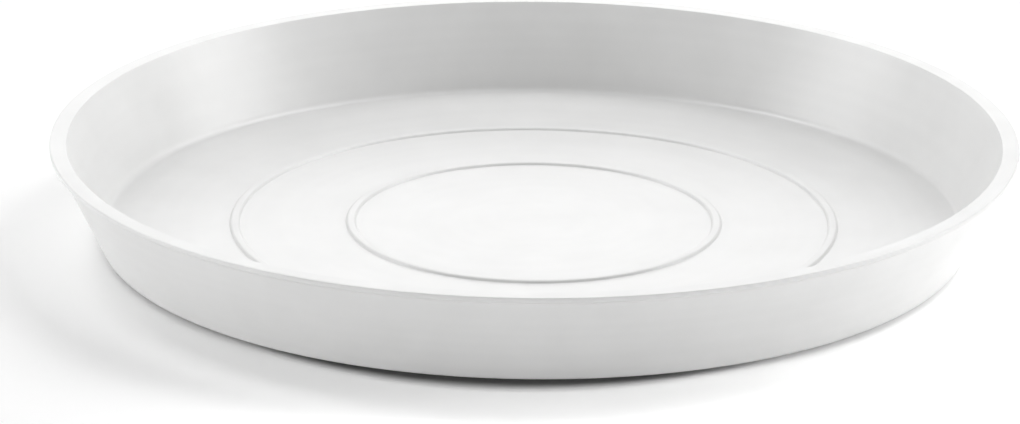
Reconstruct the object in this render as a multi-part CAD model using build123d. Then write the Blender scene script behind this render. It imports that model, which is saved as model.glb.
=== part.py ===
from build123d import *
import math
import os

# Round plant saucer, moulded in one piece from white plastic. Millimetres.
# The origin is the centre of the circle on which the foot ring stands, and +Z is up.
# The whole saucer is one closed section turned once about Z.

# Overall
rim_diameter = 300.0        # widest place, across the lip
overall_height = 32.3       # from the table to the flat top of the rim

# Rim: a flat top face whose outer edge is a small lip that stands out past the wall
rim_width = 5.2             # from the opening to the outside of the lip
rim_inner_edge_radius = 0.3
lip_face_height = 1.4       # of the lip's upright outer face, its rounded edges included
lip_overhang = 2.0          # from the top of the wall's outside to the outside of the lip
lip_underside_slope = 30.0  # degrees from level, down from the lip's face to the wall
lip_upper_edge_radius = 0.4
lip_lower_edge_radius = 0.3

# Wall: a plain cone inside and another outside, which thickens towards the rim
inner_wall_lean = 21.5          # degrees from upright
wall_thickness_at_floor = 2.0   # level, at the height of the floor
lower_edge_radius = 1.8
floor_fillet_radius = 3.0

# Floor: flat, with two raised rings for the pot to stand on
floor_thickness = 3.0       # outside the foot ring
outer_ring_inset = 40.8     # from the floor's corner to the ring's centre line
ring_spacing = 36.1         # between the two centre lines
ring_width = 3.4            # at the floor
ring_height = 0.9

# Underside: a foot ring round a shallow recess, with the mark of the mould's gate in the middle
foot_height = 1.5               # how far the foot ring holds the lower edge off the table
foot_ring_inset = 12.4          # from the lower edge to the ring's centre line
foot_ring_width = 3.0           # of the face that it stands on
foot_ring_draft = 8.0           # degrees, on both sides of the ring
foot_ring_edge_radius = 0.5
underside_recess_depth = 0.7    # how much higher the underside is inside the foot ring
gate_dimple_diameter = 14.0
gate_dimple_depth = 0.5
gate_mark_diameter = 2.4        # the stub that is left where the plastic was let in
gate_mark_height = 0.3

rim_radius = rim_diameter / 2
opening_radius = rim_radius - rim_width
lip_lower_edge = overall_height - lip_face_height
floor_top = foot_height + floor_thickness
recess_level = foot_height + underside_recess_depth

floor_radius = opening_radius - (overall_height - floor_top) * math.tan(math.radians(inner_wall_lean))
wall_top_radius = rim_radius - lip_overhang
wall_top_level = lip_lower_edge - lip_overhang * math.tan(math.radians(lip_underside_slope))
wall_foot_radius = floor_radius + wall_thickness_at_floor
outer_wall_slope = (wall_top_radius - wall_foot_radius) / (wall_top_level - floor_top)
base_radius = wall_foot_radius - floor_thickness * outer_wall_slope
outer_ring_radius = floor_radius - outer_ring_inset
inner_ring_radius = outer_ring_radius - ring_spacing
foot_ring_radius = base_radius - foot_ring_inset


def foot_side(radius, outward):
    """One side of the foot ring, from the face it stands on up into the underside.

    The side leans away from the ring's middle by the draft angle; outward is 1 or -1.
    """
    level = foot_height if outward > 0 else recess_level
    lean = level * math.tan(math.radians(foot_ring_draft))
    return [(radius, 0), (radius + outward * lean, level)]


def raised_ring(radius):
    """Arc over one raised ring, taken from outside to inside: start, crown and end."""
    return [
        (radius + ring_width / 2, floor_top),
        (radius, floor_top + ring_height),
        (radius - ring_width / 2, floor_top),
    ]


def underside_points():
    """Corners from the axis out to the lower edge of the wall."""
    dimple_level = recess_level + gate_dimple_depth
    mark_level = dimple_level - gate_mark_height
    mark_radius = gate_mark_diameter / 2
    dimple_radius = gate_dimple_diameter / 2
    ring_inside = foot_side(foot_ring_radius - foot_ring_width / 2, -1)
    ring_outside = foot_side(foot_ring_radius + foot_ring_width / 2, 1)
    return [
        (0, mark_level),
        (mark_radius, mark_level),
        (mark_radius, dimple_level),
        (dimple_radius, dimple_level),
        (dimple_radius, recess_level),
        *reversed(ring_inside),
        *ring_outside,
        (base_radius, foot_height),
    ]


def saucer_section():
    """The closed half section on the XZ plane, with its sharp corners still to be rounded."""
    outer_crown = raised_ring(outer_ring_radius)
    inner_crown = raised_ring(inner_ring_radius)
    underside = underside_points()
    with BuildSketch(Plane.XZ) as section:
        with BuildLine():
            Polyline(
                *underside,
                (wall_top_radius, wall_top_level),
                (rim_radius, lip_lower_edge),
                (rim_radius, overall_height),
                (opening_radius, overall_height),
                (floor_radius, floor_top),
                outer_crown[0],
            )
            ThreePointArc(*outer_crown)
            Line(outer_crown[2], inner_crown[0])
            ThreePointArc(*inner_crown)
            Polyline(inner_crown[2], (0, floor_top), underside[0])
        make_face()
    return section.sketch


def rounded(section):
    """The section with its moulded radii, each at the corner nearest to the point it is named for."""
    corners = [
        ((base_radius, foot_height), lower_edge_radius),
        ((floor_radius, floor_top), floor_fillet_radius),
        ((opening_radius, overall_height), rim_inner_edge_radius),
        ((rim_radius, overall_height), lip_upper_edge_radius),
        ((rim_radius, lip_lower_edge), lip_lower_edge_radius),
        ((foot_ring_radius - foot_ring_width / 2, 0), foot_ring_edge_radius),
        ((foot_ring_radius + foot_ring_width / 2, 0), foot_ring_edge_radius),
    ]
    for (radius, level), size in corners:
        corner = section.vertices().sort_by_distance((radius, 0, level))[0]
        section = fillet(corner, size)
    return section


saucer = revolve(rounded(saucer_section()), axis=Axis.Z)
saucer.label = "saucer"

os.makedirs("parts", exist_ok=True)
export_step(saucer, "parts/saucer.step")
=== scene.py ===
import math

import bpy
import numpy as np
from mathutils import Matrix, Vector


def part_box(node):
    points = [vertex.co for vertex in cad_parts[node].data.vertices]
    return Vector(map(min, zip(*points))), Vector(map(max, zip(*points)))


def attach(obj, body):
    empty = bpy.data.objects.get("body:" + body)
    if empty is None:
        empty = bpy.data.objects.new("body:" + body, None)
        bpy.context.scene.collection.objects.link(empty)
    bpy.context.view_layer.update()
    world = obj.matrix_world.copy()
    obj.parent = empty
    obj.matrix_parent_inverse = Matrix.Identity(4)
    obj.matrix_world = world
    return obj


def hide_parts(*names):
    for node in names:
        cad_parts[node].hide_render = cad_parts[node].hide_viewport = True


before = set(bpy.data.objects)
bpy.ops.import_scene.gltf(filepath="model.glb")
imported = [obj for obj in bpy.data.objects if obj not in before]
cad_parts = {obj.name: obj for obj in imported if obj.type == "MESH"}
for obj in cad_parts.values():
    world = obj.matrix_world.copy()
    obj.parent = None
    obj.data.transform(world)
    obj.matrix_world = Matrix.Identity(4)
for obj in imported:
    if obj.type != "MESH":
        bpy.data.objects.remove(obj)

scene = bpy.context.scene
scene.view_settings.view_transform = "Standard"
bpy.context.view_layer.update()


# Camera
# A long lens, well back from the saucer and about nineteen degrees above it. It aims a little
# beside the saucer's middle and is turned by a fraction of a degree.
camera_place = Vector((0, -1.7536, 0.6027))
camera_aim = Vector((-0.0074, 0, 0.0074))
camera_roll = 0.3916            # degrees
camera_lens = 209.9             # millimetres, on a sensor 36 wide

camera = bpy.data.objects.new("camera", bpy.data.cameras.new("camera"))
camera.data.lens = camera_lens
camera_turn = (camera_aim - camera_place).to_track_quat("-Z", "Y").to_matrix()
camera_turn = camera_turn @ Matrix.Rotation(math.radians(camera_roll), 3, "Z")
camera.matrix_world = Matrix.Translation(camera_place) @ camera_turn.to_4x4()
scene.collection.objects.link(camera)
scene.camera = camera


# Saucer
# The whole object: a thick-walled round dish, injection moulded in one shot from white plastic.
# It stands on a foot ring under its floor. Nothing is fixed to it, and nothing on it moves.
cad_low, cad_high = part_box("saucer")
rim_radius = min(cad_high.x, cad_high.y, -cad_low.x, -cad_low.y)
overall_height = cad_high.z
rim_width = 0.0052
rim_inner_edge_radius = 0.0003
lip_face_height = 0.0014
lip_overhang = 0.0020
lip_underside_slope = math.radians(30)
lip_upper_edge_radius = 0.0004
lip_lower_edge_radius = 0.0003
inner_wall_lean = math.radians(21.5)
wall_thickness_at_floor = 0.0020
lower_edge_radius = 0.0018
floor_fillet_radius = 0.0030
floor_thickness = 0.0030
outer_ring_inset = 0.0408
ring_spacing = 0.0361
ring_width = 0.0032
ring_height = 0.0008
ring_fullness = 5               # power of the section: 2 would be a parabola, more is squarer
ring_points = 49                # over each ring
ring_reach_share = 0.8          # of a ring's width, to each side, over which its points lie
ring_foot_softness = 0.00005    # how far the ring's sides run out into the floor
foot_height = 0.0015
foot_ring_inset = 0.0124
foot_ring_width = 0.0030
foot_ring_draft = math.radians(8)
foot_ring_edge_radius = 0.0005
underside_recess_depth = 0.0007
gate_dimple_radius = 0.0070
gate_dimple_depth = 0.0005
gate_mark_radius = 0.0012
gate_mark_height = 0.0003
sharp_edge_radius = 0.00012     # of the edges that the mould leaves sharp
wall_top_softness = 0.0010      # radius where the wall runs into the lip's underside
shoulder = 0.0002               # from the end of a rounding to the first point on the flat beside it
shoulder_share = 1 / 3          # of a short flat, at most
steps_round = 300
arc_points = 8                  # on each rounding
longest_run = 0.0040            # between two points of the profile
shortest_run = 0.0000012        # points nearer together than this count as one

floor_top = foot_height + floor_thickness
recess_level = foot_height + underside_recess_depth
dimple_level = recess_level + gate_dimple_depth
lip_lower_edge = overall_height - lip_face_height
opening_radius = rim_radius - rim_width
floor_radius = opening_radius - (overall_height - floor_top) * math.tan(inner_wall_lean)
wall_top_radius = rim_radius - lip_overhang
wall_top_level = lip_lower_edge - lip_overhang * math.tan(lip_underside_slope)
wall_foot_radius = floor_radius + wall_thickness_at_floor
outer_wall_slope = (wall_top_radius - wall_foot_radius) / (wall_top_level - floor_top)
base_radius = wall_foot_radius - floor_thickness * outer_wall_slope
outer_ring_radius = floor_radius - outer_ring_inset
inner_ring_radius = outer_ring_radius - ring_spacing
foot_ring_radius = base_radius - foot_ring_inset
foot_outside = foot_ring_radius + foot_ring_width / 2
foot_inside = foot_ring_radius - foot_ring_width / 2


def rounded(corners):
    """Profile through corners given as (radius, level, rounding): straight runs joined by arcs.

    Each arc touches both runs, at the rounding over the tangent of half the angle between them,
    and its points turn evenly about the centre. The first and last corners are only ends.
    """
    place = corners[:, :2]
    run = np.diff(place, axis=0)
    length = np.linalg.norm(run, axis=1)
    along = run / length[:, None]
    back, ahead = -along[:-1], along[1:]
    size = corners[1:-1, 2]
    half = np.arccos(np.sum(back * ahead, axis=1)) / 2
    cut = size / np.tan(half)
    free = length - np.append(cut, 0) - np.append(0, cut)
    beside = np.minimum(shoulder, free * shoulder_share)
    corner = place[1:-1]
    middle = (back + ahead) / np.linalg.norm(back + ahead, axis=1)[:, None]
    centre = corner + middle * (size / np.sin(half))[:, None]
    first = corner + back * cut[:, None] - centre
    last = corner + ahead * cut[:, None] - centre
    turn = (math.pi - 2 * half)[:, None, None]
    share = np.linspace(0, 1, arc_points)[None, :, None]
    arc = np.sin((1 - share) * turn) * first[:, None] + np.sin(share * turn) * last[:, None]
    arc = centre[:, None] + arc / np.sin(turn)
    before = arc[:, :1] + (back * beside[:-1, None])[:, None]
    after = arc[:, -1:] + (ahead * beside[1:, None])[:, None]
    points = np.concatenate([before, arc, after], axis=1).reshape(-1, 2)
    return np.vstack([place[:1], points, place[-1:]])


def subdivided(points):
    """The same line without points that coincide, and with its long stretches cut into equal parts.

    The point at a share s of a stretch is its beginning plus s times the whole stretch.
    """
    stretch = np.linalg.norm(np.diff(points, axis=0), axis=1)
    points = points[np.append(True, stretch > shortest_run)]
    stretch = np.linalg.norm(np.diff(points, axis=0), axis=1)
    parts = np.maximum(1, np.ceil(stretch / longest_run)).astype(int)
    begin = np.repeat(points[:-1], parts, axis=0)
    whole = np.repeat(np.diff(points, axis=0), parts, axis=0)
    number = np.arange(parts.sum()) - np.repeat(np.cumsum(parts) - parts, parts)
    share = number / np.repeat(parts, parts)
    return np.vstack([begin + whole * share[:, None], points[-1:]])


def floor_profile(outside):
    """Floor from a radius in to the axis, with the two raised rings.

    A ring's section is its height times one less the offset over half the width to a power. A
    smooth maximum joins it to the floor: half the sum of the section and the root of its square
    plus the softness squared.
    """
    across = np.linspace(-1, 1, ring_points) * ring_width * ring_reach_share
    near = np.concatenate([ring + across for ring in (outer_ring_radius, inner_ring_radius)])
    radius = np.sort(np.concatenate([near, [0, outside]]))[::-1]
    offset = np.minimum(abs(radius - outer_ring_radius), abs(radius - inner_ring_radius))
    bump = ring_height * (1 - (2 * offset / ring_width) ** ring_fullness)
    level = (bump + np.sqrt(bump ** 2 + ring_foot_softness ** 2)) / 2
    level -= np.interp(level, [0, ring_height], [level.min(), 0])
    return np.stack([radius, floor_top + level], axis=1)


def turned(name, profile):
    """Closed surface of revolution about Z, from a profile whose two ends lie on the axis.

    A profile point (radius, level) goes round as (radius cos a, radius sin a, level) at even
    angles a, and the two end points close the surface with a fan each.
    """
    angle = np.arange(steps_round) * math.tau / steps_round
    radius, level = profile[1:-1].T[:, :, None]
    rings = np.stack([radius * np.cos(angle), radius * np.sin(angle), level + 0 * angle], axis=-1)
    poles = [[0, 0, profile[0, 1]], [0, 0, profile[-1, 1]]]
    points = np.vstack([rings.reshape(-1, 3), poles])
    here = np.arange(steps_round)
    beside = np.roll(here, -1)
    row = np.arange(len(level) - 1)[:, None] * steps_round
    quads = [row + here, row + beside, row + steps_round + beside, row + steps_round + here]
    last_row = (len(level) - 1) * steps_round
    under = [beside, here, np.full(steps_round, len(points) - 2)]
    over = [last_row + here, last_row + beside, np.full(steps_round, len(points) - 1)]
    quads = np.stack(quads, axis=-1).reshape(-1, 4)
    fans = np.concatenate([np.stack(under, axis=-1), np.stack(over, axis=-1)])
    mesh = bpy.data.meshes.new(name)
    mesh.from_pydata(points.tolist(), [], quads.tolist() + fans.tolist())
    mesh.shade_smooth()
    return mesh


foot_lean = math.tan(foot_ring_draft)
shell = rounded(np.array([
    (0, dimple_level - gate_mark_height, 0),
    (gate_mark_radius, dimple_level - gate_mark_height, sharp_edge_radius),
    (gate_mark_radius, dimple_level, sharp_edge_radius),
    (gate_dimple_radius, dimple_level, sharp_edge_radius),
    (gate_dimple_radius, recess_level, sharp_edge_radius),
    (foot_inside - recess_level * foot_lean, recess_level, sharp_edge_radius),
    (foot_inside, 0, foot_ring_edge_radius),
    (foot_outside, 0, foot_ring_edge_radius),
    (foot_outside + foot_height * foot_lean, foot_height, sharp_edge_radius),
    (base_radius, foot_height, lower_edge_radius),
    (wall_top_radius, wall_top_level, wall_top_softness),
    (rim_radius, lip_lower_edge, lip_lower_edge_radius),
    (rim_radius, overall_height, lip_upper_edge_radius),
    (opening_radius, overall_height, rim_inner_edge_radius),
    (floor_radius, floor_top, floor_fillet_radius),
    (outer_ring_radius + ring_width, floor_top, 0),
]))
section = subdivided(np.vstack([shell[:-1], floor_profile(outer_ring_radius + ring_width)]))
saucer = bpy.data.objects.new("saucer_shell", turned("saucer_shell", section))
scene.collection.objects.link(saucer)


def add_node(tree, kind, inputs, **settings):
    """A node of a kind, with its settings, whose inputs are numbers, colours or other outputs."""
    node = tree.nodes.new(kind)
    for name, value in settings.items():
        setattr(node, name, value)
    for socket, value in inputs.items():
        if isinstance(value, bpy.types.NodeSocket):
            tree.links.new(value, node.inputs[socket])
        else:
            node.inputs[socket].default_value = value
    return node


def spread_over(tree, value, edges, levels):
    """A value spread evenly over other levels and held at its two edges."""
    return add_node(tree, "ShaderNodeMapRange", {
        "Value": value,
        "From Min": edges[0],
        "From Max": edges[1],
        "To Min": levels[0],
        "To Max": levels[1],
    }).outputs["Result"]


def blend(tree, value, edges, levels=(0, 1)):
    """A smooth step of a value between two edges, from one level to the other."""
    return add_node(tree, "ShaderNodeMapRange", {
        "Value": value,
        "From Min": edges[0],
        "From Max": edges[1],
        "To Min": levels[0],
        "To Max": levels[1],
    }, interpolation_type="SMOOTHSTEP").outputs["Result"]


def combined(tree, operation, *values):
    """The values multiplied or added together, or the largest of them."""
    total = values[0]
    for value in values[1:]:
        total = add_node(tree, "ShaderNodeMath", {0: total, 1: value}, operation=operation).outputs[0]
    return total


# The white is satin, with the soft clouds that the melt leaves, faint marks round the saucer from
# the turned and polished mould, a fine grain and a few dark specks. The top of the rim and the
# crowns of the rings are finely scratched by stacking and pots, and the foot ring is scuffed.
plastic_white = (0.84, 0.84, 0.835)
plastic_refraction = 1.49
noise_middle = (0.3, 0.7)       # levels between which nearly all of a noise lies
clouds_per_metre = 48
cloud_detail = 3
cloud_tones = (0.980, 1.020)
mottles_per_metre = 170
mottle_detail = 4
marks_per_metre = 260           # across the marks
mark_turns = 1.2                # how often a mark changes in one radian
mark_tones = (0.994, 1.006)
grain_per_metre = 2600
grain_detail = 1
speck_cells_per_metre = 60
speck_shares = (0.0300, 0.0303)             # of the cells: with a whole speck, and with any
speck_radius = 0.00025
speck_tone = 0.75
plastic_roughness = (0.290, 0.325)
mark_roughness = (-0.008, 0.008)
least_worn = 0.3                # wear of the least scratched or scuffed places, where the most is 1
scratched_roughness = 0.06      # how much rougher the scratched places are
scuffed_mottles = (0.35, 0.60)  # levels of the mottles from the least to the most scuffed
scuffed_roughness = 0.16
scuffed_tone = 0.90
grain_depth = 0.0000012
mark_depth = 0.0000008

plastic = bpy.data.materials.new("white_satin_plastic")
plastic.use_nodes = True
plastic_tree = plastic.node_tree
plastic_shader = plastic_tree.nodes["Principled BSDF"]
plastic_shader.inputs["IOR"].default_value = plastic_refraction

place = add_node(plastic_tree, "ShaderNodeTexCoord", {}).outputs["Object"]
axes = add_node(plastic_tree, "ShaderNodeSeparateXYZ", {0: place}).outputs
level_place = add_node(plastic_tree, "ShaderNodeVectorMath", {
    0: place,
    1: (1, 1, 0),
}, operation="MULTIPLY")
out_from_axis = add_node(plastic_tree, "ShaderNodeVectorMath", {
    0: level_place.outputs["Vector"],
}, operation="LENGTH").outputs["Value"]
round_axis = add_node(plastic_tree, "ShaderNodeVectorMath", {
    0: level_place.outputs["Vector"],
}, operation="NORMALIZE").outputs["Vector"]


def noise(scale, detail, vector=place):
    """Soft noise from 0 to 1, of so many waves to the metre or to the unit of another vector."""
    return add_node(plastic_tree, "ShaderNodeTexNoise", {
        "Vector": vector,
        "Scale": scale,
        "Detail": detail,
    }).outputs["Fac"]


clouds = noise(clouds_per_metre, cloud_detail)
mottles = noise(mottles_per_metre, mottle_detail)
grain = noise(grain_per_metre, grain_detail)

# The marks are noise over the turned direction and the way out and up, so they close round the axis.
out_and_up = combined(plastic_tree, "ADD", out_from_axis, axes["Z"])
across_marks = combined(plastic_tree, "MULTIPLY", out_and_up, marks_per_metre)
mark_place = add_node(plastic_tree, "ShaderNodeVectorMath", {
    0: round_axis,
    1: (mark_turns, mark_turns, 0),
    2: add_node(plastic_tree, "ShaderNodeCombineXYZ", {"Z": across_marks}).outputs["Vector"],
}, operation="MULTIPLY_ADD").outputs["Vector"]
marks = noise(1, 0, mark_place)

# A speck is a small ball round the point of a cell, in the few cells whose random colour is low.
cells = add_node(plastic_tree, "ShaderNodeTexVoronoi", {
    "Vector": place,
    "Scale": speck_cells_per_metre,
}, feature="F1").outputs
cell_number = add_node(plastic_tree, "ShaderNodeSeparateColor", {"Color": cells["Color"]}).outputs["Red"]
speck_reach = speck_radius * speck_cells_per_metre
specks = combined(
    plastic_tree, "MULTIPLY",
    blend(plastic_tree, cells["Distance"], (speck_reach / 2, speck_reach), (1, 0)),
    blend(plastic_tree, cell_number, speck_shares, (1, 0)),
)

# Where the saucer is worn: masks by the way out from the axis and the height.
rim_top = combined(
    plastic_tree, "MULTIPLY",
    blend(plastic_tree, out_from_axis, (opening_radius - rim_inner_edge_radius, opening_radius)),
    blend(plastic_tree, axes["Z"], (overall_height - lip_upper_edge_radius, overall_height)),
)
crowns_edge = (outer_ring_radius + ring_width / 2, outer_ring_radius + ring_width)
ring_crowns = combined(
    plastic_tree, "MULTIPLY",
    blend(plastic_tree, out_from_axis, crowns_edge, (1, 0)),
    blend(plastic_tree, axes["Z"], (floor_top + ring_height / 2, floor_top + ring_height)),
)
scratched = combined(
    plastic_tree, "MULTIPLY",
    combined(plastic_tree, "MAXIMUM", rim_top, ring_crowns),
    blend(plastic_tree, mottles, noise_middle, (least_worn, 1)),
)
scuffed = combined(
    plastic_tree, "MULTIPLY",
    blend(plastic_tree, axes["Z"], (sharp_edge_radius, foot_ring_edge_radius), (1, 0)),
    blend(plastic_tree, mottles, scuffed_mottles, (least_worn, 1)),
)

tone = combined(
    plastic_tree, "MULTIPLY",
    spread_over(plastic_tree, clouds, noise_middle, cloud_tones),
    spread_over(plastic_tree, marks, noise_middle, mark_tones),
    spread_over(plastic_tree, specks, (0, 1), (1, speck_tone)),
    spread_over(plastic_tree, scuffed, (0, 1), (1, scuffed_tone)),
)
plastic_colour = add_node(plastic_tree, "ShaderNodeVectorMath", {
    0: plastic_white,
    "Scale": tone,
}, operation="SCALE").outputs["Vector"]
roughness = combined(
    plastic_tree, "ADD",
    spread_over(plastic_tree, mottles, noise_middle, plastic_roughness),
    spread_over(plastic_tree, marks, noise_middle, mark_roughness),
    combined(plastic_tree, "MULTIPLY", scratched, scratched_roughness),
    combined(plastic_tree, "MULTIPLY", scuffed, scuffed_roughness),
)
surface = combined(
    plastic_tree, "ADD",
    combined(plastic_tree, "MULTIPLY", grain, grain_depth),
    combined(plastic_tree, "MULTIPLY", marks, mark_depth),
)
bump = add_node(plastic_tree, "ShaderNodeBump", {"Height": surface, "Strength": 1, "Distance": 1})
plastic_tree.links.new(plastic_colour, plastic_shader.inputs["Base Color"])
plastic_tree.links.new(roughness, plastic_shader.inputs["Roughness"])
plastic_tree.links.new(bump.outputs["Normal"], plastic_shader.inputs["Normal"])
saucer.data.materials.append(plastic)
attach(saucer, "root")
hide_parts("saucer")


# Table
# A smooth white tabletop, which shows only from above. Its white is lifted for the camera, most of
# all at the front right, where a pool of light is painted. A painted soft shadow darkens it a little
# at the front left and a painted contact shadow where the saucer nearly touches it, and farther out
# it is as white as the room.
table_reach = 6.0
table_white = 0.97
table_roughness = 0.6
table_shine = 0.2               # of the specular level, where 0.5 is a plain plastic's
lift_behind = 1.219             # how much lighter the white looks to the camera, behind the saucer
lift_in_front = 1.021
behind_line, front_line = 0.082, 0.209      # between these places along -Y the one blends into the other
glow = 0.564                    # further lift of the white: a painted pool of light at the front right
glow_azimuth = math.radians(37)             # from the front, towards the right
glow_spread = -0.002            # cosine of the angle at which the glow has faded out
glow_edge = (0.224, 0.340)      # distances from the middle between which it fades out
painted_contact_shadow = 0.81             # share of the white that the painted contact shadow takes off
contact_centre = (-0.0032, -0.0366, 0)      # middle of the disc whose edge is the painted dark contact line
contact_edge = (0.0963, 0.1057)             # distances from it at which it is darkest and gone
shade = 0.09                    # share of the white that the painted soft shadow at the front left takes off
shade_centre = (-0.0344, -0.0162, 0)
shade_edge = (0.115, 0.165)     # distances from its centre, likewise
far_edge = (0.21, 0.34)         # distances between which it turns as white as the room

table_mesh = bpy.data.meshes.new("table")
corners = table_reach * np.array([(-1, -1, 0), (1, -1, 0), (1, 1, 0), (-1, 1, 0)])
table_mesh.from_pydata(corners.tolist(), [], [(0, 1, 2, 3)])
table = bpy.data.objects.new("table", table_mesh)
scene.collection.objects.link(table)

table_paint = bpy.data.materials.new("table_white")
table_paint.use_nodes = True
table_mesh.materials.append(table_paint)
table_tree = table_paint.node_tree
table_shader = table_tree.nodes["Principled BSDF"]
table_shader.inputs["Roughness"].default_value = table_roughness
table_shader.inputs["Specular IOR Level"].default_value = table_shine


def seen_as_background(tree):
    """1 for the rays that show a background, which are camera, glossy and transmission rays."""
    path = add_node(tree, "ShaderNodeLightPath", {}).outputs
    return combined(
        tree, "MAXIMUM",
        path["Is Camera Ray"],
        path["Is Glossy Ray"],
        path["Is Transmission Ray"],
    )


table_place = add_node(table_tree, "ShaderNodeTexCoord", {}).outputs["Object"]
table_axes = add_node(table_tree, "ShaderNodeSeparateXYZ", {0: table_place})
from_centre = add_node(table_tree, "ShaderNodeVectorMath", {0: table_place}, operation="LENGTH")
distance = from_centre.outputs["Value"]
outward = add_node(table_tree, "ShaderNodeVectorMath", {0: table_place}, operation="NORMALIZE")
towards_glow = add_node(table_tree, "ShaderNodeVectorMath", {
    0: outward.outputs["Vector"],
    1: (math.sin(glow_azimuth), -math.cos(glow_azimuth), 0),
}, operation="DOT_PRODUCT").outputs["Value"]
lift = blend(table_tree, table_axes.outputs["Y"], (-front_line, -behind_line), (lift_in_front, lift_behind))
# Painted light: a pool of light lifts the table's white at the front right, for the rays that show a
# background.
glow_here = combined(
    table_tree, "MULTIPLY",
    blend(table_tree, towards_glow, (glow_spread, 1)),
    blend(table_tree, distance, glow_edge, (1, 0)),
)
lift = add_node(table_tree, "ShaderNodeMath", {
    0: glow_here,
    1: glow,
    2: lift,
}, operation="MULTIPLY_ADD").outputs[0]
from_contact = add_node(table_tree, "ShaderNodeVectorMath", {
    0: table_place,
    1: contact_centre,
}, operation="DISTANCE").outputs["Value"]
# Painted shadow: a soft pool of shade on the table at the front left.
from_shade = add_node(table_tree, "ShaderNodeVectorMath", {
    0: table_place,
    1: shade_centre,
}, operation="DISTANCE").outputs["Value"]
# Painted shade: the contact shadow under the saucer's edge and the soft shadow at the front left darken the
# white that the camera sees.
lift = combined(
    table_tree, "MULTIPLY",
    lift,
    blend(table_tree, from_contact, contact_edge, (1 - painted_contact_shadow, 1)),
    blend(table_tree, from_shade, shade_edge, (1 - shade, 1)),
)
lift = add_node(table_tree, "ShaderNodeMapRange", {
    "Value": seen_as_background(table_tree),
    "To Min": 1,
    "To Max": lift,
}).outputs["Result"]
table_colour = add_node(table_tree, "ShaderNodeVectorMath", {
    0: (table_white, table_white, table_white),
    "Scale": lift,
}, operation="SCALE")
table_tree.links.new(table_colour.outputs["Vector"], table_shader.inputs["Base Color"])
far_away = add_node(table_tree, "ShaderNodeMixShader", {
    0: combined(
        table_tree, "MULTIPLY",
        blend(table_tree, distance, far_edge),
        add_node(table_tree, "ShaderNodeLightPath", {}).outputs["Is Camera Ray"],
    ),
    1: table_shader.outputs["BSDF"],
    2: add_node(table_tree, "ShaderNodeEmission", {}).outputs["Emission"],
})
from_below = add_node(table_tree, "ShaderNodeMixShader", {
    0: add_node(table_tree, "ShaderNodeNewGeometry", {}).outputs["Backfacing"],
    1: far_away.outputs["Shader"],
    2: add_node(table_tree, "ShaderNodeBsdfTransparent", {}).outputs["BSDF"],
})
table_output = table_tree.nodes["Material Output"]
table_tree.links.new(from_below.outputs["Shader"], table_output.inputs["Surface"])


# Lamps
# Softboxes two metres away: low ones at the front and right, higher ones all round, two small ones
# high behind the left and right, and one overhead. No lamp shows in the picture. The room behind
# them is white to the camera, and dark in front to reflections.
lamp_distance = 2.0
lamp_size = (0.9, 0.9)          # width and height
low_lamp_size = (0.9, 0.5)
key_lamp_size = (0.6, 0.6)
low_elevation = 8               # degrees, as are the rest and each azimuth
side_elevation = 22
high_elevation = 40
key_elevation = 56


def softbox(name, azimuth, elevation, watts, size=lamp_size):
    """A rectangular lamp that faces the saucer from an azimuth, 0 behind it and 90 at its right."""
    around, above = math.radians(azimuth), math.radians(elevation)
    away = Vector((
        math.cos(above) * math.sin(around),
        math.cos(above) * math.cos(around),
        math.sin(above),
    ))
    light = bpy.data.lights.new(name, "AREA")
    light.shape = "RECTANGLE"
    light.size, light.size_y = size
    light.energy = watts
    lamp = bpy.data.objects.new(name, light)
    turn = away.to_track_quat("Z", "Y").to_matrix().to_4x4()
    lamp.matrix_world = Matrix.Translation(lamp_distance * away) @ turn
    lamp.visible_camera = False
    scene.collection.objects.link(lamp)


softbox("low_right", azimuth=90, elevation=low_elevation, watts=3.00, size=low_lamp_size)
softbox("low_right_front", azimuth=112.5, elevation=low_elevation, watts=4.22, size=low_lamp_size)
softbox("low_front_right", azimuth=157.5, elevation=low_elevation, watts=3.13, size=low_lamp_size)
softbox("low_front", azimuth=180, elevation=low_elevation, watts=3.18, size=low_lamp_size)
softbox("low_left_front", azimuth=247.5, elevation=low_elevation, watts=4.22, size=low_lamp_size)
softbox("back", azimuth=0, elevation=side_elevation, watts=3.24)
softbox("right", azimuth=90, elevation=side_elevation, watts=10.92)
softbox("left", azimuth=270, elevation=side_elevation, watts=10.60)
softbox("high_back_right", azimuth=60, elevation=high_elevation, watts=8.36)
softbox("high_front_left", azimuth=210, elevation=high_elevation, watts=3.32)
softbox("high_back_left", azimuth=300, elevation=high_elevation, watts=5.56)
softbox("key_right", azimuth=47, elevation=key_elevation, watts=6.9, size=key_lamp_size)
softbox("key_left", azimuth=313, elevation=key_elevation, watts=6.8, size=key_lamp_size)
softbox("overhead", azimuth=0, elevation=90, watts=3.56)

reflected_edge = (-0.1, 0.1)    # of the way round from the front, between which the room gets white
room = bpy.data.worlds.new("white_room")
room.use_nodes = True
scene.world = room
room_tree = room.node_tree
room_background = room_tree.nodes["Background"]
room_background.inputs["Color"].default_value = (1, 1, 1, 1)
room_path = add_node(room_tree, "ShaderNodeLightPath", {}).outputs
room_direction = add_node(room_tree, "ShaderNodeTexCoord", {}).outputs["Generated"]
room_axes = add_node(room_tree, "ShaderNodeSeparateXYZ", {0: room_direction})
reflected = combined(
    room_tree, "MULTIPLY",
    seen_as_background(room_tree),
    blend(room_tree, room_axes.outputs["Y"], reflected_edge),
)
room_strength = combined(room_tree, "MAXIMUM", room_path["Is Camera Ray"], reflected)
room_tree.links.new(room_strength, room_background.inputs["Strength"])
